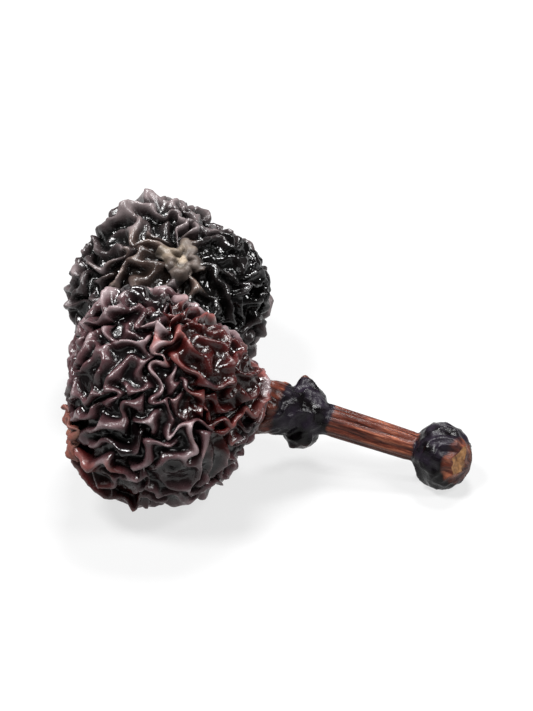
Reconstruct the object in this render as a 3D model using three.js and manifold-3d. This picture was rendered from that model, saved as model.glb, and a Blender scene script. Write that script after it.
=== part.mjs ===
// Two dried elderberries stuck together side by side. The lower, front one still
// carries its broken stalk, with a swollen fork joint and a knob at the far end.
// Millimetres, +Z up. The cluster lies on Z = 0 on the two berries and the knob,
// and the origin is the bottom centre of its box.
import * as THREE from "three";
import { mergeVertices } from "three/addons/utils/BufferGeometryUtils.js";
import Module from "manifold-3d";

const wasm = await Module();
wasm.setup();

const vec = (x, y, z) => new THREE.Vector3(x, y, z);

// ---- driving dimensions ----
const CONTACT_GAP = 0.04;
const BERRY_DETAIL = 9;

const LOWER_CENTRE = vec(0, 0, 2.24);
const LOWER_RADII = vec(2.2, 2.32, 2.42);
const UPPER_CENTRE = vec(-0.05, 4.2, 1.93);
const UPPER_RADII = vec(2.27, 2.07, 2.1);
const LOWER_PRESS_REACH = 2.18;

const FOLD_PITCH = 1.15;
const FOLD_DEPTH = 0.075;
const FOLD_WAVES = 9;
const LOBE_PITCH = 3.1;
const LOBE_DEPTH = 0.035;
const LOBE_WAVES = 5;
const LOBE_SEED_STEP = 77;

const STALK_SEAT_REACH = 2.04;
const LOWER_CALYX_AXIS = vec(-0.92, -0.35, -0.16).normalize();
const LOWER_CALYX_REACH = 2.0;
const LOWER_CALYX_RADIUS = 0.64;
const UPPER_CALYX_AXIS = vec(0.175, -0.544, 0.822).normalize();
const UPPER_CALYX_REACH = 1.9;
const UPPER_CALYX_RADIUS = 0.56;
const CALYX_THICKNESS = 0.14;
const CALYX_LOBES = 5;
const CALYX_RING_SHARE = 0.6;
const CALYX_HOLE_SHARE = 0.33;
const LOBE_SHOULDER_SHARE = 0.5;
const LOBE_TIP_SHARE = 0.12;

const JOINT_CENTRE = vec(2.76, 0.9, 1.28);
const JOINT_RADII = vec(0.66, 0.64, 0.68);
const COLLAR_RADIUS = 0.6;
const COLLAR_EDGE_RADIUS = 0.54;
const WAIST_RADIUS = 0.47;
const COLLAR_AT = 0.1;
const WAIST_AT = 0.4;
const SWELL_AT = 0.75;
const STUB_UP = vec(0.12, 0.57, 0.81).normalize();
const STUB_DOWN = vec(-0.1, -0.57, -0.81).normalize();
const STUB_REACH = 0.86;
const STUB_BASE_RADIUS = 0.58;
const STUB_NECK_RADIUS = 0.35;
const STUB_TIP_RADIUS = 0.15;
const STUB_NECK_AT = 0.6;
const KNOB_CENTRE = vec(5.62, 0.18, 0.66);
const KNOB_RADII = vec(0.69, 0.72, 0.75);
const BREAK_AXIS = vec(0.608, -0.785, 0.117).normalize();
const BREAK_REACH = 0.56;
const STRETCH_RADIUS = 0.35;
const STRETCH_BOW = 0.05;

// ---- shared shaping ----
function seededRandom(seed) {
  let state = seed;
  return () => {
    state = (state * 1664525 + 1013904223) % 4294967296;
    return state / 4294967296;
  };
}

// A smooth field on the unit sphere, about -1 to 1, whose humps lie about one pitch apart.
function waveField(seed, waveCount, pitch) {
  const random = seededRandom(seed);
  const waves = [];
  for (let i = 0; i < waveCount; i += 1) {
    const height = 2 * random() - 1;
    const turn = 2 * Math.PI * random();
    const across = Math.sqrt(1 - height * height);
    const axis = vec(across * Math.cos(turn), across * Math.sin(turn), height);
    waves.push({ axis, phase: 2 * Math.PI * random() });
  }
  const rate = (2 * Math.PI) / pitch;
  const scale = Math.sqrt(2 / waveCount);
  return (point) => {
    let sum = 0;
    for (const wave of waves) sum += Math.sin(rate * point.dot(wave.axis) + wave.phase);
    return Math.max(-1, Math.min(1, scale * sum));
  };
}

// Pushes whatever stands past a plane back onto it, so that the skin ends in a flat there.
function pressFlat(point, centre, axis, reach) {
  const past = point.clone().sub(centre).dot(axis) - reach;
  if (past > 0) point.addScaledVector(axis, -past);
}

function ballGeometry(detail) {
  const ball = new THREE.IcosahedronGeometry(1, detail);
  ball.deleteAttribute("normal");
  ball.deleteAttribute("uv");
  return mergeVertices(ball, 1e-5);
}

// A closed lump: a ball with sharp creases and broad lobes sunk into it, then its flats.
function wrinkledLump({ centre, radii, detail, seed, foldDepth, foldPitch, flats }) {
  const geometry = ballGeometry(detail);
  const creases = waveField(seed, FOLD_WAVES, foldPitch);
  const lobes = waveField(seed + LOBE_SEED_STEP, LOBE_WAVES, LOBE_PITCH);
  const meanRadius = (radii.x + radii.y + radii.z) / 3;
  const position = geometry.attributes.position;
  const point = vec(0, 0, 0);
  for (let i = 0; i < position.count; i += 1) {
    point.fromBufferAttribute(position, i).normalize();
    const onBall = point.clone().multiplyScalar(meanRadius);
    const crease = (1 - Math.abs(creases(onBall))) ** 2;
    const lobe = 0.5 - 0.5 * lobes(onBall);
    point.multiply(radii).multiplyScalar(1 - foldDepth * crease - LOBE_DEPTH * lobe);
    point.add(centre);
    for (const flat of flats) pressFlat(point, centre, flat.axis, flat.reach);
    position.setXYZ(i, point.x, point.y, point.z);
  }
  return geometry;
}

function toSolid(geometry) {
  const bare = geometry.clone();
  bare.deleteAttribute("normal");
  bare.deleteAttribute("uv");
  const merged = mergeVertices(bare, 1e-4);
  return new wasm.Manifold(new wasm.Mesh({
    numProp: 3,
    vertProperties: new Float32Array(merged.attributes.position.array),
    triVerts: new Uint32Array(merged.index.array),
  }));
}

function toGeometry(solid) {
  const mesh = solid.getMesh();
  const geometry = new THREE.BufferGeometry();
  geometry.setAttribute("position", new THREE.BufferAttribute(mesh.vertProperties, 3));
  geometry.setIndex(new THREE.BufferAttribute(mesh.triVerts, 1));
  return geometry;
}

function joined(geometries) {
  return toGeometry(geometries.map(toSolid).reduce((whole, next) => whole.add(next)));
}

// Stands a shape made along +Y on a point, pointing along an axis.
function aimed(geometry, start, axis) {
  const turn = new THREE.Quaternion().setFromUnitVectors(vec(0, 1, 0), axis);
  return geometry.applyQuaternion(turn).translate(start.x, start.y, start.z);
}

// ---- the berries ----
const DOWN = vec(0, 0, -1);
const pressLine = UPPER_CENTRE.clone().sub(LOWER_CENTRE);
const pressAxis = pressLine.clone().normalize();
const upperPressReach = pressLine.length() - LOWER_PRESS_REACH - CONTACT_GAP;
const stalkAxis = JOINT_CENTRE.clone().sub(LOWER_CENTRE).normalize();

function lowerBerry() {
  return wrinkledLump({
    centre: LOWER_CENTRE,
    radii: LOWER_RADII,
    detail: BERRY_DETAIL,
    seed: 11,
    foldDepth: FOLD_DEPTH,
    foldPitch: FOLD_PITCH,
    flats: [
      { axis: DOWN, reach: LOWER_CENTRE.z },
      { axis: pressAxis, reach: LOWER_PRESS_REACH },
      { axis: stalkAxis, reach: STALK_SEAT_REACH },
      { axis: LOWER_CALYX_AXIS, reach: LOWER_CALYX_REACH },
    ],
  });
}

function upperBerry() {
  return wrinkledLump({
    centre: UPPER_CENTRE,
    radii: UPPER_RADII,
    detail: BERRY_DETAIL,
    seed: 29,
    foldDepth: FOLD_DEPTH,
    foldPitch: FOLD_PITCH,
    flats: [
      { axis: DOWN, reach: UPPER_CENTRE.z },
      { axis: pressAxis.clone().negate(), reach: upperPressReach },
      { axis: UPPER_CALYX_AXIS, reach: UPPER_CALYX_REACH },
    ],
  });
}

// ---- the dry calyx at a berry's far end: a ring with five blunt lobes ----
function calyx(berryCentre, axis, reach, radius, spin) {
  const ringRadius = CALYX_RING_SHARE * radius;
  const outline = new THREE.Shape();
  for (let i = 0; i < CALYX_LOBES; i += 1) {
    const middle = spin + (2 * Math.PI * i) / CALYX_LOBES;
    const half = Math.PI / CALYX_LOBES;
    const at = (turn, r) => [r * Math.cos(middle + turn), r * Math.sin(middle + turn)];
    if (i === 0) outline.moveTo(...at(-half, ringRadius));
    const shoulder = LOBE_SHOULDER_SHARE * half;
    const tip = LOBE_TIP_SHARE * half;
    outline.quadraticCurveTo(...at(-shoulder, radius), ...at(-tip, radius));
    outline.lineTo(...at(tip, radius));
    outline.quadraticCurveTo(...at(shoulder, radius), ...at(half, ringRadius));
  }
  const hole = new THREE.Path();
  hole.absarc(0, 0, CALYX_HOLE_SHARE * radius, 0, 2 * Math.PI, true);
  outline.holes.push(hole);
  const options = { depth: CALYX_THICKNESS, bevelEnabled: false, curveSegments: 5 };
  const star = new THREE.ExtrudeGeometry(outline, options).rotateX(-Math.PI / 2);
  const seat = berryCentre.clone().addScaledVector(axis, reach + CONTACT_GAP);
  return aimed(star, seat, axis);
}

// ---- the stalk ----
// The collar grips the berry, narrows to a waist and runs into the fork joint.
function collar() {
  const start = LOWER_CENTRE.clone().addScaledVector(stalkAxis, STALK_SEAT_REACH + CONTACT_GAP);
  const length = start.distanceTo(JOINT_CENTRE);
  const profile = [
    new THREE.Vector2(0, 0),
    new THREE.Vector2(COLLAR_EDGE_RADIUS, 0),
    new THREE.Vector2(COLLAR_RADIUS, COLLAR_AT * length),
    new THREE.Vector2(WAIST_RADIUS, WAIST_AT * length),
    new THREE.Vector2(COLLAR_EDGE_RADIUS, SWELL_AT * length),
    new THREE.Vector2(WAIST_RADIUS, length),
    new THREE.Vector2(0, length),
  ];
  return aimed(new THREE.LatheGeometry(profile, 12), start, stalkAxis);
}

function forkJoint() {
  return wrinkledLump({
    centre: JOINT_CENTRE,
    radii: JOINT_RADII,
    detail: 3,
    seed: 5,
    foldDepth: 0.1,
    foldPitch: 1.6,
    flats: [],
  });
}

function brokenStub(axis) {
  const profile = [
    new THREE.Vector2(0, 0),
    new THREE.Vector2(STUB_BASE_RADIUS, 0),
    new THREE.Vector2(STUB_NECK_RADIUS, STUB_NECK_AT * STUB_REACH),
    new THREE.Vector2(STUB_TIP_RADIUS, STUB_REACH),
    new THREE.Vector2(0, STUB_REACH),
  ];
  return aimed(new THREE.LatheGeometry(profile, 9), JOINT_CENTRE, axis);
}

function straightStretch() {
  const section = new THREE.Shape();
  section.absarc(0, 0, STRETCH_RADIUS, 0, 2 * Math.PI, false);
  const middle = JOINT_CENTRE.clone().lerp(KNOB_CENTRE, 0.5).add(vec(0, 0, STRETCH_BOW));
  const path = new THREE.CatmullRomCurve3([JOINT_CENTRE, middle, KNOB_CENTRE]);
  const options = { steps: 8, curveSegments: 10, bevelEnabled: false, extrudePath: path };
  return new THREE.ExtrudeGeometry(section, options);
}

function knob() {
  return wrinkledLump({
    centre: KNOB_CENTRE,
    radii: KNOB_RADII,
    detail: 4,
    seed: 3,
    foldDepth: 0.06,
    foldPitch: 1.3,
    flats: [
      { axis: DOWN, reach: KNOB_CENTRE.z },
      { axis: BREAK_AXIS, reach: BREAK_REACH },
    ],
  });
}

function stalk() {
  return joined([
    collar(),
    forkJoint(),
    brokenStub(STUB_UP),
    brokenStub(STUB_DOWN),
    straightStretch(),
    knob(),
  ]);
}

// ---- assembly ----
const darkSkin = new THREE.MeshStandardMaterial({ color: 0x201c1f, roughness: 0.42, metalness: 0 });
const greySkin = new THREE.MeshStandardMaterial({ color: 0x242223, roughness: 0.5, metalness: 0 });
const dryCalyx = new THREE.MeshStandardMaterial({ color: 0x8a4a2c, roughness: 0.7, metalness: 0 });
const stalkBark = new THREE.MeshStandardMaterial({ color: 0x6b3426, roughness: 0.6, metalness: 0 });

const group = new THREE.Group();

function addNode(name, geometry, material) {
  const mesh = new THREE.Mesh(geometry, material);
  mesh.name = name;
  group.add(mesh);
}

addNode("lower_berry", lowerBerry(), darkSkin);
addNode("upper_berry", upperBerry(), greySkin);
addNode(
  "lower_calyx",
  calyx(LOWER_CENTRE, LOWER_CALYX_AXIS, LOWER_CALYX_REACH, LOWER_CALYX_RADIUS, 0.3),
  dryCalyx,
);
addNode(
  "upper_calyx",
  calyx(UPPER_CENTRE, UPPER_CALYX_AXIS, UPPER_CALYX_REACH, UPPER_CALYX_RADIUS, 0.9),
  dryCalyx,
);
addNode("stalk", stalk(), stalkBark);

const box = new THREE.Box3().setFromObject(group);
const middle = box.getCenter(vec(0, 0, 0));
group.position.set(-middle.x, -middle.y, -box.min.z);

export default group;
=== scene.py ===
# %% [markdown]
# # Two dried elderberries on a broken stalk
# Real thing: two berries about 4.3 mm across that dried while they touched, so their skins stuck.
# The front one still has its calyx at one end and a short forked stalk at the other.
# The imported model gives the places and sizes, so everything here starts from its boxes. It is
# shaped in millimetres, because steps of 0.00004 m are awkward to read. Each finished mesh is
# scaled to metres once, when its object is made.

import math

import bmesh
import bpy
import numpy as np
from mathutils import Matrix, Vector, kdtree, noise


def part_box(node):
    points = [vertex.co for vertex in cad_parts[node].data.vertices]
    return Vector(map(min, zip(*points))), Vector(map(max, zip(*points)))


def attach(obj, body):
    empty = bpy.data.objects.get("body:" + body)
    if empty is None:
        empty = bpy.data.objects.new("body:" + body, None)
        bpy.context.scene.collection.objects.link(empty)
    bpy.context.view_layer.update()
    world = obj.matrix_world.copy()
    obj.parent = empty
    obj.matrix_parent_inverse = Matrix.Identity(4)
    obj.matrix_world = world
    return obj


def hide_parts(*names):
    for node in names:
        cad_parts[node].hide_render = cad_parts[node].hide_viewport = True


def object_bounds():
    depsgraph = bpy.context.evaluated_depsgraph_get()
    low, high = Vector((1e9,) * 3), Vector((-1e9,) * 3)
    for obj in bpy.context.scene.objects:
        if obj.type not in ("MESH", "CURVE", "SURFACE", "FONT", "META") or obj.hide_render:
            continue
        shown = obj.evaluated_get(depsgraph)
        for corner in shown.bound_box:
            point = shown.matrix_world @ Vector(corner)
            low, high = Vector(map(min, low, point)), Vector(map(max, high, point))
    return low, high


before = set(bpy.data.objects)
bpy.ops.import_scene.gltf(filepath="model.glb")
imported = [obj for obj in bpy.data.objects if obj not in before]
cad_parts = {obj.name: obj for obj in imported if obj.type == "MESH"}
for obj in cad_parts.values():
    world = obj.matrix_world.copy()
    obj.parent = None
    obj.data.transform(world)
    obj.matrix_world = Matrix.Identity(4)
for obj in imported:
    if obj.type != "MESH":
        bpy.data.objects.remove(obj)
cad_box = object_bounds()
MM = 0.001


# %% [markdown]
# ## Reading places from the frame
# The berries take their places and sizes from the boxes of the solids that they replace, and the
# calyxes and the stalk are placed from the berries. The numbers could be typed in again, but
# read from the frame they can't disagree with it. The helper gives a box in millimetres as its
# centre and its half size, which is how a ball is described.

# %% Boxes in millimetres
def box_mm(node):
    low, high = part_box(node)
    low = np.array(low) / MM
    high = np.array(high) / MM
    return (low + high) / 2, (high - low) / 2


def unit(x, y, z):
    axis = np.array([x, y, z], float)
    return axis / np.linalg.norm(axis)


lower_centre, lower_half = box_mm("lower_berry")
upper_centre, upper_half = box_mm("upper_berry")
print("lower berry", lower_centre.round(2), "upper berry", upper_centre.round(2), "mm")


# %% [markdown]
# ## A ball to start from
# A berry could start as a UV sphere, but its poles crowd the mesh and folds would gather there.
# An icosphere has nearly equal triangles all over, which the drying step below needs, because it
# treats every edge as a small spring. Each point has six neighbours, or five at twelve points,
# so the neighbours fit in a plain table, and the whole skin moves in one array step.

# %% The ball and its neighbour table
BALL_SUBDIVISIONS = 7


def ball(subdivisions):
    shape = bmesh.new()
    bmesh.ops.create_icosphere(shape, subdivisions=subdivisions, radius=1.0)
    points = np.array([vert.co[:] for vert in shape.verts])
    edges = np.array([[vert.index for vert in edge.verts] for edge in shape.edges])
    faces = np.array([[vert.index for vert in face.verts] for face in shape.faces])
    shape.free()
    return points, edges, faces


def neighbour_table(count, edges):
    both = np.concatenate([edges, edges[:, ::-1]])
    both = both[np.argsort(both[:, 0], kind="stable")]
    first = np.searchsorted(both[:, 0], np.arange(count))
    degree = np.bincount(both[:, 0], minlength=count)
    table = np.tile(np.arange(count)[:, None], (1, 6))
    for slot in range(6):
        has = degree > slot
        table[has, slot] = both[first[has] + slot, 1]
    return table


ball_points, ball_edges, ball_faces = ball(BALL_SUBDIVISIONS)
ball_ring = neighbour_table(len(ball_points), ball_edges)
print("ball:", len(ball_points), "points,", len(ball_faces), "triangles")


# %% [markdown]
# ## Uneven growth
# Nothing that grew is even. One noise field, read at each point, is used for dents in the flesh,
# for skin that is a little softer in places, and later for colour. The seed moves the field, so
# each use gets its own pattern and every run gives the same berry.

# %% A noise field read at points
def field(points, pitch, seed):
    shift = Vector((seed * 3.17, seed * 1.31, seed * 7.7))
    return np.array([noise.noise(Vector(point) / pitch + shift) for point in points])


def smoothstep(low, high, value):
    t = np.clip((value - low) / (high - low), 0.0, 1.0)
    return t * t * (3 - 2 * t)


def near(points, axis, spread):
    """1 on the axis from the centre, falling to 0 over about the spread, in radians."""
    away = np.arccos(np.clip(points @ axis, -1, 1))
    return np.exp(-((away / spread) ** 2))


print("noise along the ball:", field(ball_points[:4], 1.0, 0).round(2))


# %% [markdown]
# ## How much too long the skin is
# The wrinkles are the whole look of this fruit. They could be noise pushed into a ball, but noise
# makes lumps, while real folds run, fork and lean over. So the berry is dried the way nature
# does it: the flesh inside has shrunk, the skin hasn't, and skin that is too long has to buckle.
# Every edge is a spring that wants to be over a third longer than the room it has. Near the two
# ends more of that is taken up around the fruit's axis and less along it, which makes the folds
# there run towards the stalk and the calyx.

# %% Skin growth
SKIN_EXCESS = 0.38
END_SPREAD = 0.75
END_TURN = 0.9


def skin_growth(core, ring, end_axis):
    """How much longer each edge wants to be: more around the fruit's axis near its two ends."""
    edge = core[ring] - core[:, None]
    length = np.linalg.norm(edge, axis=2)
    direction = core / np.linalg.norm(core, axis=1)[:, None]
    around = np.cross(end_axis, direction)
    around /= np.maximum(np.linalg.norm(around, axis=1), 1e-6)[:, None]
    share = (np.einsum("ijk,ik->ij", edge, around) / np.maximum(length, 1e-9)) ** 2
    ends = near(direction, end_axis, END_SPREAD) + near(direction, -end_axis, END_SPREAD)
    growth = SKIN_EXCESS * (1 + ends[:, None] * (END_TURN * share - END_TURN / 2))
    return length, growth


print("the skin is", round(100 * SKIN_EXCESS), "% too long for the flesh")


# %% [markdown]
# ## Drying the skin
# Blender's Cloth could be asked to buckle the skin, but it has no setting for how far apart the
# folds come. In a small spring model of our own that is one number. A bending force keeps the
# folds round, and a soft pull holds each point near the flesh, more firmly against sinking in.
# Those two set the spacing, as they do on a real fruit. A faint ripple tells the skin where to
# start. Flats are planes that it can't pass: the ground, the other berry, the seat of the stalk.

# %% The drying loop
FOLD_SPACING_MM = 0.4
DRYING_STEPS = 380
GROWING_SHARE = 0.6
BENDING = 2.0
INWARD_FIRMNESS = 3.0
SOFTNESS_SPREAD = 0.8
SOFTNESS_PITCH = 1.3
GROWTH_SPREAD = 0.25
GROWTH_PITCH = 1.2
RIPPLE_HEIGHT = 0.02
STEP_LENGTH = 0.5
DRAG = 0.12


def spring_back(length, softness):
    """The pull towards the flesh that gives folds of the wanted spacing."""
    # The mean of six neighbours, less the point, is a quarter of a Laplacian: twice over, 16.
    spacing_edges = FOLD_SPACING_MM / length.mean()
    return BENDING / (16 * (spacing_edges / (2 * math.pi)) ** 4) * softness


def dry_skin(core, ring, end_axis, flats, seed):
    direction = core / np.linalg.norm(core, axis=1)[:, None]
    length, growth = skin_growth(core, ring, end_axis)
    uneven = 1 + GROWTH_SPREAD * field(core, GROWTH_PITCH, seed + 9)
    hold = spring_back(length, np.exp(SOFTNESS_SPREAD * field(core, SOFTNESS_PITCH, seed + 5)))
    ripple = field(core, FOLD_SPACING_MM, seed) + 0.5 * field(core, FOLD_SPACING_MM / 2, seed + 1)
    skin = (core + direction * (RIPPLE_HEIGHT * ripple)[:, None]).astype(np.float32)
    core, direction = core.astype(np.float32), direction.astype(np.float32)
    wanted = (growth * uneven[:, None]).astype(np.float32)
    length, hold = length.astype(np.float32), hold.astype(np.float32)
    speed = np.zeros_like(skin)
    for step in range(DRYING_STEPS):
        dried = min(1.0, (step + 1) / (GROWING_SHARE * DRYING_STEPS))
        edge = skin[ring] - skin[:, None]
        now = np.sqrt((edge * edge).sum(2))
        pull = 1 - length * (1 + dried * wanted) / np.maximum(now, 1e-6)
        force = (pull[:, :, None] * edge).sum(1)
        bend = edge.mean(1)
        force -= BENDING * (bend[ring].mean(1) - bend)
        raised = ((skin - core) * direction).sum(1)
        firmness = np.where(raised < 0, INWARD_FIRMNESS, 1.0).astype(np.float32)
        force -= (hold * firmness * raised)[:, None] * direction
        speed = (1 - DRAG) * speed + STEP_LENGTH * force
        skin = skin + 0.5 * STEP_LENGTH * speed
        for axis, reach in flats:
            past = np.maximum(skin @ axis.astype(np.float32) - np.float32(reach), 0)
            skin -= past[:, None] * axis.astype(np.float32)
    raised = ((skin - core) * direction).sum(1)
    return skin.astype(float), raised.astype(float)


print("folds", FOLD_SPACING_MM, "mm apart, dried in", DRYING_STEPS, "steps")


# %% [markdown]
# ## The flesh under the skin
# The flesh sets the berry's overall form: a slightly uneven ball, drawn in at the stalk end and
# at the calyx end. It starts smaller than the berry's box by the height that the folds will add,
# so the finished berry fills its box and doesn't stand out of it. The side that faces the other
# berry is stretched until it would pass the plane between them. The two skins then meet there
# in a broad flat, as soft fruit does, and not at one point.

# %% Flesh
FOLD_ALLOWANCE = 0.18
DENT_DEPTH = 0.2
DENT_PITCH = 0.8
END_DIMPLE = 0.05
DIMPLE_SPREAD = 0.3
PRESS_DEPTH = 0.1


def leaning(core, axis, reach):
    """Stretch the side that faces the other berry, so that it would pass the plane between them."""
    out = core @ axis
    stretch = (reach + PRESS_DEPTH) / out.max()
    return core + np.outer(np.maximum(out, 0) * (stretch - 1), axis)


def flesh(half_size, end_axis, seed):
    radii = half_size - FOLD_ALLOWANCE
    dents = DENT_DEPTH * field(ball_points, DENT_PITCH, seed + 20)
    ends = near(ball_points, end_axis, DIMPLE_SPREAD) + near(ball_points, -end_axis, DIMPLE_SPREAD)
    core = ball_points * (1 + dents - END_DIMPLE * ends)[:, None]
    low, high = core.min(0), core.max(0)
    return (core - (low + high) / 2) * 2 / (high - low) * radii


print("flesh starts", FOLD_ALLOWANCE, "mm inside the box")


# %% [markdown]
# ## Thin ridges, wide pits
# Buckling alone gives folds as wide as the dips between them, which looks like rope. On a real
# dried berry the skin keeps sinking between its folds, so the ridges end up thin and sharp and
# the pits wide and dark. The height above the local average is bent by a power curve to get
# that, and the pits are drawn deeper. Then come a fine crinkle, too small for the springs and
# stronger where they left the skin calm, and a sideways crumple, which breaks up folds that
# came out too even. Where the skin is pressed flat it is left alone.

# %% Ridges and pits
RIDGE_SHARPNESS = 2.3
RIDGE_LIMIT = 1.4
PIT_DEPTH = 2.0
CRINKLE_HEIGHT = 0.028
CRINKLE_PITCH = 0.24
CALM_CRINKLE_HEIGHT = 0.045
CALM_RANGE = (0.2, 0.4)
CRUMPLE_PITCH = 0.36
CRUMPLE_REACH = 0.09
AVERAGING_ROUNDS = 160
FLAT_MARGIN = 0.4
FLAT_EDGE = 0.04


def averaged(values):
    for _ in range(AVERAGING_ROUNDS):
        values = values[ball_ring].mean(1)
    return values


def free_of_flats(skin, flats):
    free = np.ones(len(skin))
    for axis, reach in flats:
        free *= 1 - smoothstep(reach - FLAT_MARGIN, reach - FLAT_EDGE, skin @ axis)
    return free


def ridged(points, pitch, seed):
    """Noise folded where it crosses zero, which gives thin crests of height 1."""
    return 1 - 2.6 * np.abs(field(points, pitch, seed))


def sink_pits(skin, raised, flats, seed):
    """Return the reshaped skin and where each point lies between its pit, -1, and ridge, 1."""
    height = raised - averaged(raised)
    unit_height = 2 * height.std()
    level = np.clip(height / unit_height, -1.0, RIDGE_LIMIT)
    ridge = 2 * ((level + 1) / 2) ** RIDGE_SHARPNESS - 1
    wanted = unit_height * np.where(ridge < 0, PIT_DEPTH * ridge, ridge)
    crinkle = ridged(skin, CRINKLE_PITCH, seed + 70)
    crinkle = crinkle + 0.4 * ridged(skin, CRINKLE_PITCH / 2, seed + 71)
    calm = 1 - smoothstep(*CALM_RANGE, averaged(np.abs(height)) / unit_height)
    shift = wanted - height + (CRINKLE_HEIGHT + CALM_CRINKLE_HEIGHT * calm) * crinkle
    crumple = np.stack([field(skin, CRUMPLE_PITCH, seed + 80 + turn) for turn in range(3)], axis=1)
    free = free_of_flats(skin, flats)
    skin = skin + CRUMPLE_REACH * crumple * free[:, None]
    print("folds", round(unit_height, 3), "mm, moved", shift.min().round(3), shift.max().round(3))
    return skin + ball_points * (shift * free)[:, None], np.clip(ridge, -1, 1)


# %% [markdown]
# ## From arrays to an object
# One helper turns points and faces into a smooth-shaded object in metres. Values such as the
# fold height travel with the mesh as named point attributes, and the material reads them by name.

# %% Make an object
def make_object(name, points, faces, attributes):
    mesh = bpy.data.meshes.new(name)
    corners = [tuple(int(index) for index in face) for face in faces]
    mesh.from_pydata((np.asarray(points) * MM).tolist(), [], corners)
    mesh.update()
    mesh.shade_smooth()
    for key, values in attributes.items():
        layer = mesh.attributes.new(key, "FLOAT", "POINT")
        layer.data.foreach_set("value", np.asarray(values, np.float32))
    piece = bpy.data.objects.new(name, mesh)
    bpy.context.scene.collection.objects.link(piece)
    print("made", name, "with", len(mesh.vertices), "points")
    return piece


# %% [markdown]
# ## Ruddy places, black patches and painted shade
# Red-brown skin shows where a berry was shaded or less ripe. Black places are black patches on the
# lower berry and painted shade over the upper berry's right side. They could be painted by hand,
# but a few directions from the berry's centre, each with a spread and a strength, say the same and
# can be changed. Noise frays their edges.

# %% Patches of colour
PATCH_PITCH = 0.6
PATCH_FINE_PITCH = 0.25


def patches(core, places, seed):
    """Uneven patches of skin around a few directions, 0 outside and up to 1 inside."""
    amount = np.zeros(len(core))
    for axis, spread, strength in places:
        amount = np.maximum(amount, strength * near(ball_points, axis, spread))
    uneven = 0.6 * field(core, PATCH_PITCH, seed) + 0.4 * field(core, PATCH_FINE_PITCH, seed + 1)
    return np.clip(amount + uneven * smoothstep(0.05, 0.4, amount), 0, 1)


print("patches fray over", PATCH_PITCH, "and", PATCH_FINE_PITCH, "mm")


# %% [markdown]
# ## The two berries
# The stalk leaves the lower berry low on its right, and its calyx faces the other way. The upper
# berry lost its own stalk, and its calyx faces up and forward. Where the two touch, each skin is
# pressed flat just past the plane between them, so that the folds bite and no gap shows, and
# both are pressed a little on the ground. The two could share one mesh, but each keeps its own
# seed, so that their folds differ as two real berries' do.

# %% Berries
STALK_AXIS = unit(2.78, 0.91, -1.0)
LOWER_CALYX_AXIS = unit(-0.92, -0.35, -0.16)
UPPER_CALYX_AXIS = unit(0.175, -0.544, 0.822)
DOWN = unit(0, 0, -1)
STALK_SEAT = 2.08
press_line = upper_centre - lower_centre
press_axis = press_line / np.linalg.norm(press_line)
PRESS_SHARE = 0.52
INTERLOCK = 0.04
lower_press = PRESS_SHARE * np.linalg.norm(press_line) + INTERLOCK
upper_press = (1 - PRESS_SHARE) * np.linalg.norm(press_line) + INTERLOCK


def dried_berry(
    name, centre, half_size, end_axis, contact, flats, ruddy_places, black_and_shade_places, seed
):
    core = leaning(flesh(half_size, end_axis, seed), *contact)
    flats = [contact, *flats]
    skin, raised = dry_skin(core, ball_ring, end_axis, flats, seed)
    skin, fold = sink_pits(skin, raised, flats, seed)
    attributes = {
        "fold": fold,
        "ruddy": patches(core, ruddy_places, seed + 40),
        "black_and_shade": patches(core, black_and_shade_places, seed + 42),
    }
    return make_object(name, skin + centre, ball_faces, attributes)


lower_skin = dried_berry(
    "lower_berry_skin", lower_centre, lower_half, LOWER_CALYX_AXIS,
    contact=(press_axis, lower_press),
    flats=[(DOWN, lower_centre[2]), (STALK_AXIS, STALK_SEAT)],
    ruddy_places=[
        (unit(0.48, -0.12, 0.85), 0.55, 0.95),
        (unit(0.8, -0.25, 0.5), 0.5, 1.0),
        (unit(0.72, -0.63, 0.25), 0.45, 0.9),
        (unit(-0.46, -0.72, -0.53), 0.33, 0.95),
        (unit(-0.8, -0.35, -0.5), 0.2, 1.0),
    ],
    black_and_shade_places=[
        (unit(0.9, -0.4, -0.2), 0.25, 0.6),
        (unit(-0.15, 0.3, 0.94), 0.45, 0.5),
        (unit(-0.34, -0.93, 0.13), 0.3, 0.5),
    ],
    seed=4,
)
upper_skin = dried_berry(
    "upper_berry_skin", upper_centre, upper_half, UPPER_CALYX_AXIS,
    contact=(-press_axis, upper_press),
    flats=[(DOWN, upper_centre[2])],
    ruddy_places=[(UPPER_CALYX_AXIS, 0.4, 0.9), (unit(-0.2, -0.55, 0.82), 0.4, 0.8)],
    # Its black places are painted shade over the berry's right side.
    black_and_shade_places=[(unit(0.85, -0.3, 0.45), 0.62, 1.0), (unit(0.6, -0.75, 0.2), 0.5, 1.0)],
    seed=12,
)
for berry in (lower_skin, upper_skin):
    print(berry.name, [round(side / MM, 2) for side in berry.dimensions], "mm")


# %% [markdown]
# ## Working with material nodes
# A material is a small graph. These helpers add a node, join two sockets and mix two colours, so
# that each finish below reads as a list of decisions and not as wiring.

# %% Node helpers
def new_material(name):
    material = bpy.data.materials.new(name)
    material.use_nodes = True
    nodes = material.node_tree.nodes
    return material, material.node_tree, nodes["Principled BSDF"]


def add_node(tree, kind, **settings):
    node = tree.nodes.new(kind)
    for key, value in settings.items():
        setattr(node, key, value)
    return node


def noise_value(tree, vector, scale, detail=3.0, distortion=0.0, roughness=0.55):
    node = add_node(tree, "ShaderNodeTexNoise")
    node.inputs["Scale"].default_value = scale
    node.inputs["Detail"].default_value = detail
    node.inputs["Roughness"].default_value = roughness
    node.inputs["Distortion"].default_value = distortion
    tree.links.new(vector, node.inputs["Vector"])
    return node.outputs["Fac"]


def object_place(tree):
    return add_node(tree, "ShaderNodeTexCoord").outputs["Object"]


def point_value(tree, name):
    return add_node(tree, "ShaderNodeAttribute", attribute_name=name).outputs["Fac"]


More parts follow.
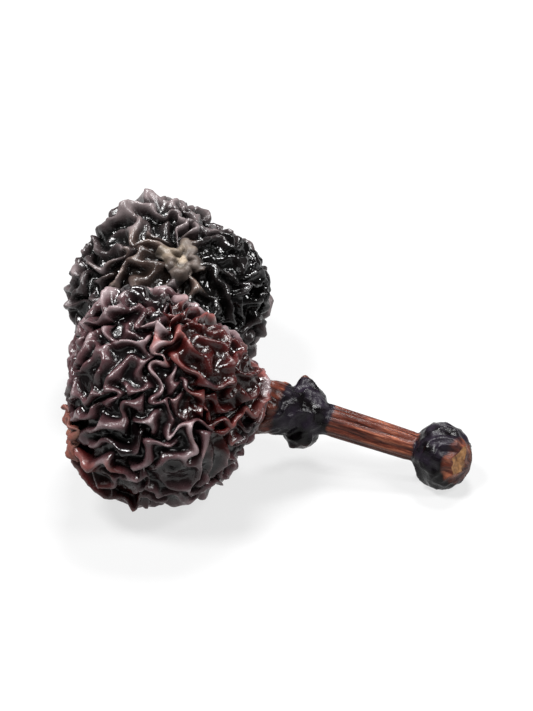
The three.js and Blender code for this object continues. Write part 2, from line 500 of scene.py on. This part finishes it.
def remap(tree, value, low, high, to_low=0.0, to_high=1.0):
    node = add_node(tree, "ShaderNodeMapRange", interpolation_type="SMOOTHSTEP")
    tree.links.new(value, node.inputs["Value"])
    node.inputs["From Min"].default_value = low
    node.inputs["From Max"].default_value = high
    node.inputs["To Min"].default_value = to_low
    node.inputs["To Max"].default_value = to_high
    return node.outputs["Result"]


def arithmetic(tree, operation, first, second):
    node = add_node(tree, "ShaderNodeMath", operation=operation)
    for value, socket in ((first, node.inputs[0]), (second, node.inputs[1])):
        if isinstance(value, (int, float)):
            socket.default_value = value
        else:
            tree.links.new(value, socket)
    return node.outputs[0]


def blend_colours(tree, factor, first, second):
    node = add_node(tree, "ShaderNodeMix", data_type="RGBA")
    tree.links.new(factor, node.inputs["Factor"])
    for value, socket in ((first, node.inputs[6]), (second, node.inputs[7])):
        if isinstance(value, tuple):
            socket.default_value = (*value, 1.0)
        else:
            tree.links.new(value, socket)
    return node.outputs[2]


def bump(tree, shader, height, distance, strength=1.0, under=None):
    node = add_node(tree, "ShaderNodeBump")
    node.inputs["Strength"].default_value = strength
    node.inputs["Distance"].default_value = distance
    tree.links.new(height, node.inputs["Height"])
    if under is not None:
        tree.links.new(under, node.inputs["Normal"])
    tree.links.new(node.outputs["Normal"], shader.inputs["Normal"])
    return node.outputs["Normal"]


# %% [markdown]
# ## Dried berry skin
# Dried elderberry skin is nearly black with a purple cast. Its colour follows the height on the
# folds: pits are near-black, partly the skin's own dark and partly painted shade, and crests are
# paler, partly a rubbed mauve-grey bloom and partly painted highlight. Ruddy places turn maroon,
# with pinkish crests that are partly painted highlight too. Black places lose the bloom: black
# patches on the lower berry, painted shade on the upper berry's right side. The gloss is uneven:
# sticky and smooth in the pits, duller on the rubbed crests, with dust a fraction of a millimetre
# across. The shine is kept low, because a pale floor mirrored in dark skin turns it grey. Creases
# below the size of the modelled folds are left to a bump.

# %% Skin colour
def skin_colour(tree, height, bloom, mottle, black_and_shade, tones):
    """Colour by fold height, plain, ruddy or black: painted shade in pits, painted highlight on
    crests.
    """
    # Painted shade: the pits go near-black. Painted highlight: the crests go pale, along with the
    # bloom.
    bloom_and_highlight = arithmetic(tree, "ADD", height, bloom)
    dark = blend_colours(tree, remap(tree, height, -0.5, 0.6), tones["deep"], tones["mid"])
    dark = blend_colours(tree, remap(tree, bloom_and_highlight, 0.4, 1.8), dark, tones["crest"])
    red = blend_colours(
        tree, remap(tree, height, -0.4, 0.6), tones["ruddy_deep"], tones["ruddy_mid"]
    )
    red = blend_colours(tree, remap(tree, bloom_and_highlight, 0.4, 1.8), red, tones["ruddy_crest"])
    frayed = arithmetic(tree, "MULTIPLY", mottle, 0.7)
    patchy = arithmetic(tree, "ADD", point_value(tree, "ruddy"), frayed)
    colour = blend_colours(tree, remap(tree, patchy, 0.45, 0.8), dark, red)
    # Black places: black patches on the lower berry, painted shade on the upper berry's right side.
    return blend_colours(tree, remap(tree, black_and_shade, 0.15, 0.6, 0.0, 0.95), colour, tones["deep"])


def skin_roughness(tree, fold, dust, black_and_shade):
    """Smooth in the pits, on black patches and under painted shade, duller on the crests and in the
    dust.
    """
    dusty = remap(tree, dust, 0.35, 0.65, -0.04, 0.08)
    rough = arithmetic(tree, "ADD", dusty, remap(tree, fold, -0.5, 0.5, 0.2, 0.3))
    return arithmetic(tree, "SUBTRACT", rough, remap(tree, black_and_shade, 0.15, 0.6, 0.0, 0.15))


# %% [markdown]
# ## The skin's tones and marks
# The colour needs a height on the folds, made uneven by a mottle, and a slow bloom that comes and
# goes over a millimetre or two. Noise scales count marks to the metre, because that is the unit
# of object coordinates. The tones are darker than they seem on the fruit, where the lamps and
# the pale floor lift them. The upper berry is blacker and its ruddy places are only brown.

# %% Skin material
BLOOM_PER_M = 700
MOTTLE_PER_M = 1500
CREASES_PER_M = 3600
DUST_PER_M = 5200
# deep is partly painted shade in the pits; crest and ruddy_crest are partly painted highlight.
LOWER_TONES = {
    "deep": (0.0015, 0.0008, 0.001), "mid": (0.043, 0.02, 0.0225), "crest": (0.158, 0.119, 0.124),
    "ruddy_deep": (0.006, 0.0007, 0.0006), "ruddy_mid": (0.028, 0.0032, 0.003),
    "ruddy_crest": (0.125, 0.04, 0.036),
}
UPPER_TONES = {
    "deep": (0.001, 0.0009, 0.0009), "mid": (0.02, 0.0145, 0.015), "crest": (0.1, 0.08, 0.081),
    "ruddy_deep": (0.004, 0.0026, 0.002), "ruddy_mid": (0.028, 0.018, 0.015),
    "ruddy_crest": (0.105, 0.076, 0.063),
}


def berry_skin(name, tones):
    material, tree, shader = new_material(name)
    place = object_place(tree)
    fold = point_value(tree, "fold")
    black_and_shade = point_value(tree, "black_and_shade")
    mottle = noise_value(tree, place, MOTTLE_PER_M, detail=5)
    dust = noise_value(tree, place, DUST_PER_M, detail=4)
    bloom = arithmetic(tree, "SUBTRACT", noise_value(tree, place, BLOOM_PER_M), 0.5)
    bloom = arithmetic(tree, "MULTIPLY", bloom, 4.5)
    height = arithmetic(tree, "ADD", fold, arithmetic(tree, "MULTIPLY", mottle, 0.9))
    colour = skin_colour(tree, height, bloom, mottle, black_and_shade, tones)
    tree.links.new(colour, shader.inputs["Base Color"])
    tree.links.new(skin_roughness(tree, fold, dust, black_and_shade), shader.inputs["Roughness"])
    shader.inputs["Specular IOR Level"].default_value = 0.32
    creases = noise_value(tree, place, CREASES_PER_M, detail=4, distortion=0.6)
    first = bump(tree, shader, creases, 0.0001, 0.35)
    bump(tree, shader, dust, 0.00002, 0.4, under=first)
    return material


lower_finish = berry_skin("lower_skin", LOWER_TONES)
upper_finish = berry_skin("upper_skin", UPPER_TONES)
lower_skin.data.materials.append(lower_finish)
upper_skin.data.materials.append(upper_finish)
print("materials:", [material.name for material in bpy.data.materials])


# %% [markdown]
# ## The dry calyx
# The flower's five sepals stay on the end of the berry as a small papery star around a scar.
# It could be a flat cut-out, but dry sepals curl, so each star is a sheet in polar steps: a dot
# of dry style, a moat, a raised ring and five blunt lobes that curl at the tips, all crumpled by
# noise. The upper berry's lobes have worn away, down to a crust around the ring. The sheet
# follows the skin under it, averaged over the folds, so it sits on the berry without a gap.
# Solidify gives the sheet its thickness, and a subdivision rounds the edges.

# %% Calyx
CALYX_TURNS = 60
CALYX_RINGS = 9
SEPAL_COUNT = 5
SEPAL_THICKNESS = 0.08
STYLE_RISE = 0.24
RING_PLACE = 0.62
SKIN_POINTS_UNDER = 60


def axis_frame(axis, spin):
    side = np.cross(axis, [0, 0, 1.0])
    side /= np.linalg.norm(side)
    other = np.cross(axis, side)
    return (math.cos(spin) * side + math.sin(spin) * other,
            -math.sin(spin) * side + math.cos(spin) * other)


def calyx_sheet(radius, notch, ragged, ring_rise, curl, seed):
    """Points (across, across, rise) and faces of a crumpled five-lobed star around a style."""
    points = [(0.0, 0.0, 0.13 * radius)]
    for turn_index in range(CALYX_TURNS):
        turn = 2 * math.pi * turn_index / CALYX_TURNS
        around = Vector((math.cos(turn) * 1.9 + seed, math.sin(turn) * 1.9, 0.3))
        lobe = abs(math.cos(SEPAL_COUNT * turn / 2))
        reach = radius * (1 - notch + notch * lobe) * (1 + ragged * noise.noise(around))
        for ring_index in range(1, CALYX_RINGS):
            out = ring_index / (CALYX_RINGS - 1)
            r = reach * out
            rise = STYLE_RISE * math.exp(-((out / 0.16) ** 2))
            rise += ring_rise * math.exp(-(((out - RING_PLACE) / 0.2) ** 2))
            rise += curl * lobe * max(0.0, out - 0.55) ** 1.5
            place = Vector((r * math.cos(turn), r * math.sin(turn), seed))
            rise += ragged * noise.noise(place * 7) * out
            points.append((r * math.cos(turn), r * math.sin(turn), rise * radius))
    faces = []
    rows = CALYX_RINGS - 1
    for turn_index in range(CALYX_TURNS):
        here = 1 + turn_index * rows
        after = 1 + ((turn_index + 1) % CALYX_TURNS) * rows
        faces.append((0, here, after))
        for step in range(rows - 1):
            faces.append((here + step, here + step + 1, after + step + 1, after + step))
    return np.array(points), faces


def skin_level(skin, centre, side, other, axis, across):
    """How far out along the axis the skin under each place lies, averaged over its folds."""
    out = skin - centre
    level = out @ axis
    facing = np.flatnonzero(level > 0)
    tree = kdtree.KDTree(len(facing))
    for index in facing:
        tree.insert((out[index] @ side, out[index] @ other, 0), index)
    tree.balance()
    return np.array([
        np.mean([level[index] for _, index, _ in tree.find_n((x, y, 0), SKIN_POINTS_UNDER)])
        for x, y in across
    ])


def dry_calyx(name, skin_piece, centre, axis, radius, notch, ragged, ring_rise, curl, spin, seed):
    sheet, faces = calyx_sheet(radius, notch, ragged, ring_rise, curl, seed)
    side, other = axis_frame(axis, spin)
    skin = np.array([vert.co[:] for vert in skin_piece.data.vertices]) / MM
    level = skin_level(skin, centre, side, other, axis, sheet[:, :2])
    rise = (sheet[:, 2] - sheet[:, 2].min()) / np.ptp(sheet[:, 2])
    sheet[:, 2] += level + SEPAL_THICKNESS
    places = centre + sheet @ np.array([side, other, axis])
    outward = np.linalg.norm(sheet[:, :2], axis=1) / radius
    piece = make_object(name, places, faces, {"outward": outward, "rise": rise})
    solidify = piece.modifiers.new("thickness", "SOLIDIFY")
    solidify.thickness = SEPAL_THICKNESS * MM
    solidify.offset = 0
    rounding = piece.modifiers.new("rounding", "SUBSURF")
    rounding.levels = 1
    rounding.render_levels = 1
    print(name, len(places), "points, seated", round(float(level.mean()), 2), "mm out")
    return piece


lower_calyx = dry_calyx(
    "lower_calyx_sepals", lower_skin, lower_centre, LOWER_CALYX_AXIS,
    radius=0.62, notch=0.3, ragged=0.6, ring_rise=0.3, curl=0.8, spin=0.3, seed=5,
)
upper_calyx = dry_calyx(
    "upper_calyx_sepals", upper_skin, upper_centre, UPPER_CALYX_AXIS,
    radius=0.46, notch=0.0, ragged=0.7, ring_rise=0.35, curl=0.0, spin=0.9, seed=11,
)


# %% [markdown]
# ## Dry sepals
# Sepals dry to a dull papery crust: red-brown on the lower berry, grey-brown on the upper one,
# with cream specks where the surface has flaked and a pale dot of style. One colour with a bump
# would read as clay, so the colour follows the sheet's own rise: painted light on the raised
# parts and painted shade in the hollows.

# %% Calyx material
GRAIN_PER_M = 3000
SPECKS_PER_M = 1100


def sepal_finish(name, dark, light, pale):
    material, tree, shader = new_material(name)
    place = object_place(tree)
    grain = noise_value(tree, place, GRAIN_PER_M, detail=5)
    specks = noise_value(tree, place, SPECKS_PER_M, detail=2)
    # Painted light and shade: the crust is paler where the sheet rises and darker in its hollows.
    lit = arithmetic(tree, "MULTIPLY", grain, 0.9)
    lit = arithmetic(tree, "ADD", point_value(tree, "rise"), lit)
    colour = blend_colours(tree, remap(tree, lit, 0.6, 1.2), dark, light)
    colour = blend_colours(tree, remap(tree, specks, 0.52, 0.7, 0.0, 0.5), colour, pale)
    style = remap(tree, point_value(tree, "outward"), 0.1, 0.3, 1.0, 0.0)
    colour = blend_colours(tree, style, colour, pale)
    tree.links.new(colour, shader.inputs["Base Color"])
    tree.links.new(remap(tree, grain, 0.3, 0.7, 0.45, 0.75), shader.inputs["Roughness"])
    bump(tree, shader, grain, 0.00006, 0.8)
    return material


lower_calyx.data.materials.append(sepal_finish(
    "lower_sepals",
    dark=(0.03, 0.0075, 0.0055), light=(0.12, 0.031, 0.02), pale=(0.23, 0.1, 0.056),
))
upper_calyx.data.materials.append(sepal_finish(
    "upper_sepals",
    dark=(0.005, 0.0036, 0.0033), light=(0.042, 0.029, 0.023), pale=(0.165, 0.127, 0.09),
))
for calyx in (lower_calyx, upper_calyx):
    print(calyx.name, "has", calyx.data.materials[0].name)


# %% [markdown]
# ## The stalk
# The stalk grew as one piece: a collar that grips the berry, a swollen fork joint where two side
# branches broke off, a straight ribbed stretch and the knob of the next joint. Modelling that as
# one subdivision cage is fiddly where the stubs meet. Here rough closed lumps overlap, and a
# voxel remesh melts them into one skin, which a few rounds of smoothing soften.

# %% Stalk: rough form
JOINT = lower_centre + np.array([2.78, 0.91, -1.03])
KNOB = lower_centre + np.array([5.65, 0.19, -1.65])
COLLAR = lower_centre + 2.0 * STALK_AXIS
STUB_UP = unit(0.12, 0.57, 0.81)
STUB_DOWN = unit(-0.1, -0.57, -0.81)
BREAK_AXIS = unit(0.72, -0.66, 0.2)
STRETCH_RADIUS = 0.305
COLLAR_RADII = (0.36, 0.56, 0.58)
JOINT_RADII = (0.56, 0.56, 0.56)
STUB_DOWN_RADII = (0.38, 0.36, 0.36)
KNOB_RADII = (0.62, 0.66, 0.7)
VOXEL = 0.03
SOFTENING_ROUNDS = 4


def tube(shape, start, end, start_radius, end_radius):
    line = Vector(end - start)
    turn = line.to_track_quat("Z", "Y").to_matrix().to_4x4()
    place = Matrix.Translation(Vector((start + end) / 2)) @ turn
    bmesh.ops.create_cone(
        shape, cap_ends=True, cap_tris=True, segments=24, radius1=start_radius,
        radius2=end_radius, depth=line.length, matrix=place,
    )


def lump(shape, centre, radii):
    place = Matrix.Translation(Vector(centre)) @ Matrix.Diagonal((*radii, 1.0))
    bmesh.ops.create_icosphere(shape, subdivisions=4, radius=1.0, matrix=place)


def rough_stalk():
    shape = bmesh.new()
    lump(shape, COLLAR + 0.1 * STALK_AXIS, COLLAR_RADII)
    tube(shape, COLLAR, JOINT, 0.58, 0.5)
    lump(shape, JOINT, JOINT_RADII)
    tube(shape, JOINT + 0.1 * STUB_UP, JOINT + 0.76 * STUB_UP, 0.6, 0.04)
    lump(shape, JOINT + 0.45 * STUB_DOWN, STUB_DOWN_RADII)
    tube(shape, JOINT, KNOB, STRETCH_RADIUS + 0.03, STRETCH_RADIUS - 0.02)
    lump(shape, KNOB, KNOB_RADII)
    mesh = bpy.data.meshes.new("rough_stalk")
    shape.to_mesh(mesh)
    shape.free()
    return mesh


def melted(mesh):
    piece = bpy.data.objects.new("melting", mesh)
    bpy.context.scene.collection.objects.link(piece)
    remesh = piece.modifiers.new("melt", "REMESH")
    remesh.mode = "VOXEL"
    remesh.voxel_size = VOXEL
    soften = piece.modifiers.new("soften", "SMOOTH")
    soften.factor = 0.5
    soften.iterations = SOFTENING_ROUNDS
    graph = bpy.context.evaluated_depsgraph_get()
    result = bpy.data.meshes.new_from_object(piece.evaluated_get(graph))
    bpy.data.objects.remove(piece)
    points = np.array([vert.co[:] for vert in result.vertices])
    normals = np.array([vert.normal[:] for vert in result.vertices])
    faces = [tuple(face.vertices) for face in result.polygons]
    return points, normals, faces


stalk_points, stalk_normals, stalk_faces = melted(rough_stalk())
print("stalk:", len(stalk_points), "points after the melt")


# %% [markdown]
# ## Ribs, puckers and the snapped face
# A drying stalk shrinks between its fibres, so the straight stretch stands in ribs, and the joint
# and the knob, which were soft, pucker. Both could be bump in the material, but they show on the
# outline, so each point is moved along its normal instead. The far side of the knob is cut off
# at a plane, which a fine noise frays, because that is where the stalk snapped.

# %% Stalk: ribs, puckers and the snapped face
RIB_COUNT = 9
RIB_DEPTH = 0.035
RIB_TWIST = 0.5
PUCKER_HEIGHT = 0.055
PUCKER_PITCH = 0.3
BREAK_REACH = 0.575
FIBRE_HEIGHT = 0.012
FIBRE_PITCH = 0.09


def along_stretch(points):
    """Place along the stretch, 0 at the joint and 1 at the knob, and the turn around it."""
    line = KNOB - JOINT
    length = np.linalg.norm(line)
    axis = line / length
    from_joint = points - JOINT
    along = from_joint @ axis / length
    side, other = axis_frame(axis, 0.0)
    turn = np.arctan2(from_joint @ other, from_joint @ side)
    return along, turn


along, turn = along_stretch(stalk_points)
on_stretch = smoothstep(0.14, 0.26, along) * smoothstep(0.86, 0.76, along)
twist = turn + RIB_TWIST * along
ribs = np.abs(np.sin(0.5 * RIB_COUNT * twist + 1.2 * field(stalk_points, 1.1, 60)))
pucker = 1 - np.abs(field(stalk_points, PUCKER_PITCH, 61)) * 2.4
pucker += 0.4 * field(stalk_points, 0.16, 62)
stalk_points = stalk_points + stalk_normals * (
    RIB_DEPTH * (ribs - 0.6) * on_stretch + PUCKER_HEIGHT * (pucker - 0.5) * (1 - on_stretch)
)[:, None]
break_reach = (stalk_points - KNOB) @ BREAK_AXIS
face_fibre = FIBRE_HEIGHT * field(stalk_points, FIBRE_PITCH, 63)
past_break = np.maximum(break_reach - BREAK_REACH - face_fibre, 0)
stalk_points = stalk_points - past_break[:, None] * BREAK_AXIS
stalk_points[:, 2] = np.maximum(stalk_points[:, 2], 0.0)
snapped = smoothstep(0.0, 0.02, past_break)
at_joint = smoothstep(1.2, 0.9, np.linalg.norm(stalk_points - JOINT, axis=1))
worn = at_joint * smoothstep(0.5, 0.75, np.abs((stalk_points - JOINT) @ STUB_UP))
worn = np.maximum(worn, 1.3 * smoothstep(0.32, 0.53, break_reach))
stalk = make_object("stalk_bark", stalk_points, stalk_faces, {
    "bark_dark": np.clip(1 - on_stretch - 0.8 * smoothstep(-0.08, -0.2, along) - 0.5 * worn, 0, 1),
    "snapped": snapped,
    "around": turn / math.pi,
    "along": along,
})
print("stalk box", stalk_points.min(0).round(2), stalk_points.max(0).round(2))


# %% [markdown]
# ## Stalk bark
# The straight stretch is red-brown with paler lengthwise streaks. The joint and the knob dried
# blue-black with a dull shine. The snapped ends show tan wood with brown fibres. The streaks are
# noise read in the stalk's own coordinates, stretched along it, so that they follow the ribs.

# %% Bark material
def stalk_coordinates(tree):
    """Coordinates that run around and along the stalk, with the length shrunk to draw streaks."""
    around = point_value(tree, "around")
    length = point_value(tree, "along")
    angle = arithmetic(tree, "MULTIPLY", around, math.pi)
    join = add_node(tree, "ShaderNodeCombineXYZ")
    tree.links.new(arithmetic(tree, "SINE", angle, 0.0), join.inputs["X"])
    tree.links.new(arithmetic(tree, "COSINE", angle, 0.0), join.inputs["Y"])
    tree.links.new(arithmetic(tree, "MULTIPLY", length, 0.9), join.inputs["Z"])
    return join.outputs["Vector"]


STREAKS_AROUND = 4.5
BARK_MOTTLE_PER_M = 2600
WOOD_FIBRES_PER_M = 5200
BROWN_TONES = [(0.014, 0.0035, 0.0026), (0.056, 0.014, 0.0085), (0.165, 0.056, 0.031)]
BLACK_TONES = [(0.001, 0.0006, 0.0008), (0.0085, 0.0058, 0.0105)]
WOOD_TONES = [(0.08, 0.033, 0.013), (0.29, 0.145, 0.054)]


def stalk_finish():
    material, tree, shader = new_material("stalk_bark")
    place = object_place(tree)
    streak_place = stalk_coordinates(tree)
    streaks = noise_value(tree, streak_place, STREAKS_AROUND, detail=5, roughness=0.65)
    mottle = noise_value(tree, place, BARK_MOTTLE_PER_M, detail=5)
    fibres = noise_value(tree, place, WOOD_FIBRES_PER_M, detail=4, distortion=1.5)
    brown = blend_colours(tree, remap(tree, streaks, 0.36, 0.52), BROWN_TONES[0], BROWN_TONES[1])
    brown = blend_colours(tree, remap(tree, streaks, 0.52, 0.66), brown, BROWN_TONES[2])
    black = blend_colours(tree, remap(tree, mottle, 0.38, 0.66), *BLACK_TONES)
    wood = blend_colours(tree, remap(tree, fibres, 0.3, 0.7), *WOOD_TONES)
    uneven = arithmetic(tree, "MULTIPLY", arithmetic(tree, "SUBTRACT", mottle, 0.5), 0.8)
    dark = arithmetic(tree, "ADD", point_value(tree, "bark_dark"), uneven)
    colour = blend_colours(tree, remap(tree, dark, 0.3, 0.62), brown, black)
    colour = blend_colours(tree, remap(tree, point_value(tree, "snapped"), 0.2, 0.8), colour, wood)
    tree.links.new(colour, shader.inputs["Base Color"])
    tree.links.new(remap(tree, mottle, 0.3, 0.7, 0.2, 0.38), shader.inputs["Roughness"])
    shader.inputs["Specular IOR Level"].default_value = 0.15
    first = bump(tree, shader, streaks, 0.00004, 0.5)
    bump(tree, shader, fibres, 0.00002, 0.6, under=first)
    return material


stalk.data.materials.append(stalk_finish())
print("stalk has", stalk.data.materials[0].name)


# %% [markdown]
# ## Each piece stands for its solid
# Every piece rides on the one body. It replaces its plain solid, which would otherwise be drawn
# in the same place.

# %% Ride and replace
PIECES = [
    (lower_skin, "lower_berry", "lower_skin"),
    (upper_skin, "upper_berry", "upper_skin"),
    (lower_calyx, "lower_calyx", "dry_calyx"),
    (upper_calyx, "upper_calyx", "dry_calyx"),
    (stalk, "stalk", "stalk_bark"),
]
for piece, node, slot in PIECES:
    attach(piece, "root")
    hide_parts(node)
print("pieces:", [piece.name for piece, _, _ in PIECES])


# %% [markdown]
# ## Floor and light
# Three small soft boxes stand left, behind and right, like the lamps around a product table.
# They could be wide, but wide lamps are mirrored in every pit of a near-black skin and turn it
# grey, while small ones leave short bright glints on the folds. The room is kept dim for the
# same reason. The pale floor glows a little by itself, as a lit table top does, which keeps it
# even and its shadows faint.

# %% Stage
FLOOR_HALF = 1.5
FLOOR_GREY = (0.07, 0.07, 0.0705, 1.0)
FLOOR_GLOW = 0.7
ROOM_LIGHT = 0.13
BOX_SIZE = 0.038
BOX_AIM = Vector((0, 0, 0.002))
SOFT_BOXES = [
    ("left_box", (-0.06, -0.02, 0.13), 0.42),
    ("back_box", (0.01, 0.06, 0.135), 0.35),
    ("right_box", (0.08, -0.03, 0.11), 0.21),
]


def pale_floor():
    mesh = bpy.data.meshes.new("floor")
    corners = [(-FLOOR_HALF, -FLOOR_HALF, 0), (FLOOR_HALF, -FLOOR_HALF, 0),
               (FLOOR_HALF, FLOOR_HALF, 0), (-FLOOR_HALF, FLOOR_HALF, 0)]
    mesh.from_pydata(corners, [], [(0, 1, 2, 3)])
    floor = bpy.data.objects.new("floor", mesh)
    bpy.context.scene.collection.objects.link(floor)
    material, _, shader = new_material("pale_floor")
    shader.inputs["Base Color"].default_value = FLOOR_GREY
    shader.inputs["Emission Color"].default_value = (1.0, 1.0, 1.0, 1.0)
    shader.inputs["Emission Strength"].default_value = FLOOR_GLOW
    shader.inputs["Roughness"].default_value = 0.8
    mesh.materials.append(material)


def soft_box(name, place, power):
    lamp = bpy.data.lights.new(name, "AREA")
    lamp.size = BOX_SIZE
    lamp.energy = power
    holder = bpy.data.objects.new(name, lamp)
    bpy.context.scene.collection.objects.link(holder)
    holder.location = place
    holder.rotation_euler = (BOX_AIM - Vector(place)).to_track_quat("-Z", "Y").to_euler()
    print(name, power, "W")


pale_floor()
for box in SOFT_BOXES:
    soft_box(*box)
world = bpy.data.worlds.new("room")
bpy.context.scene.world = world
world.use_nodes = True
room = world.node_tree.nodes["Background"]
room.inputs["Color"].default_value = (1.0, 1.0, 1.0, 1.0)
room.inputs["Strength"].default_value = ROOM_LIGHT
bpy.context.scene.view_settings.view_transform = "Standard"


# %% [markdown]
# ## Camera
# The camera looks down at the pair from the front, as at something small on a table. Its height
# above the table is an angle, and its distance is long for an object this small, so that both
# berries keep their size. The lens follows from the distance and from how wide the view is to be.

# %% Camera
CAMERA_ELEVATION = math.radians(36)
CAMERA_DISTANCE = 0.14
FRAME_HEIGHT = 0.0148
AIM_HEIGHT = 0.0019
middle = [(low + high) / 2 for low, high in zip(*cad_box)]
aim_at = Vector((middle[0], middle[1], AIM_HEIGHT))
camera_data = bpy.data.cameras.new("camera")
camera = bpy.data.objects.new("camera", camera_data)
bpy.context.scene.collection.objects.link(camera)
toward = Vector((0, -math.cos(CAMERA_ELEVATION), math.sin(CAMERA_ELEVATION)))
camera.location = aim_at + CAMERA_DISTANCE * toward
camera.rotation_euler = (-toward).to_track_quat("-Z", "Y").to_euler()
camera_data.lens = camera_data.sensor_width * CAMERA_DISTANCE / FRAME_HEIGHT
camera_data.clip_start = 0.005
camera_data.clip_end = 10
bpy.context.scene.camera = camera
print("lens", round(camera_data.lens), "mm")


# %% Sizes
print("cad box", [[round(v / MM, 3) for v in c] for c in cad_box])
